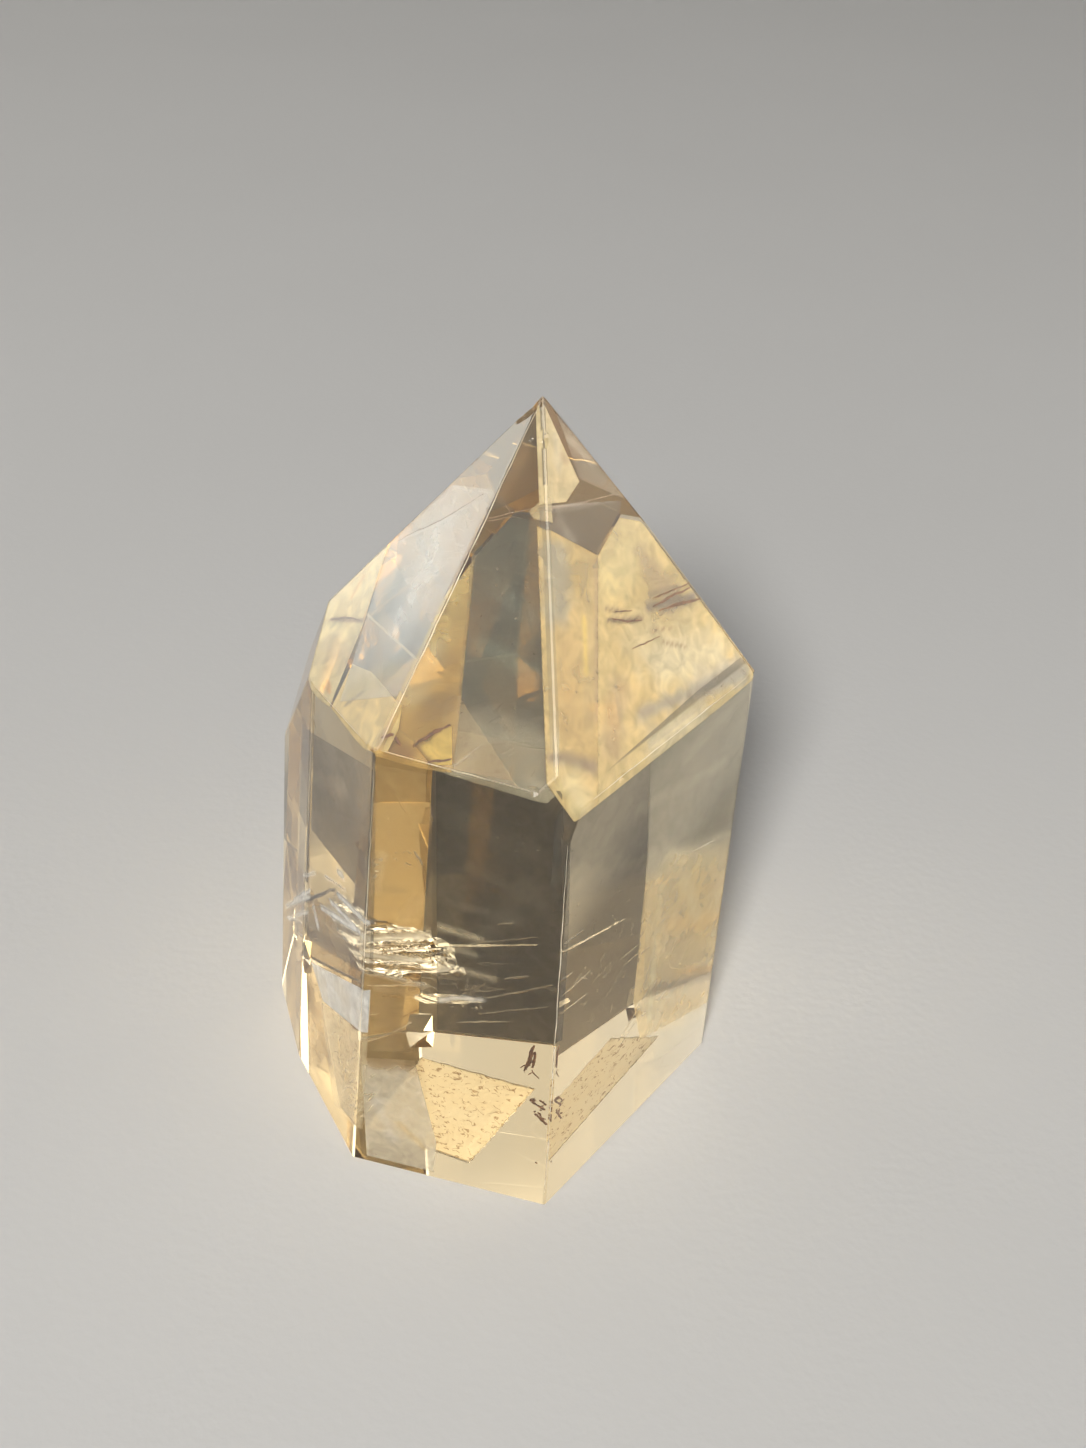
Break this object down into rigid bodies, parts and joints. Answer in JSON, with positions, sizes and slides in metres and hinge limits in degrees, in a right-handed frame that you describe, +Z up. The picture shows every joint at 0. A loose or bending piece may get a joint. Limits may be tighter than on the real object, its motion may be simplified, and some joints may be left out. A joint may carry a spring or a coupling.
{
  "type": "crystal point",
  "caption": "Polished citrine point: a clear golden quartz prism on a flat foot, rising to an uneven faceted tip.",
  "frame": {"origin": "middle of the flat foot that the crystal stands on", "axes": "+Z up along the crystal towards its tip; -Y is the front, the wall below the front face of the point; +X is to the right seen from the front"},
  "size_m": [0.0471, 0.0436, 0.0749],
  "materials": {
    "citrine": "polished clear golden quartz with internal veils"
  },
  "bodies": {
    "root": {"citrine_point": "citrine"}
  },
  "joints": []
}
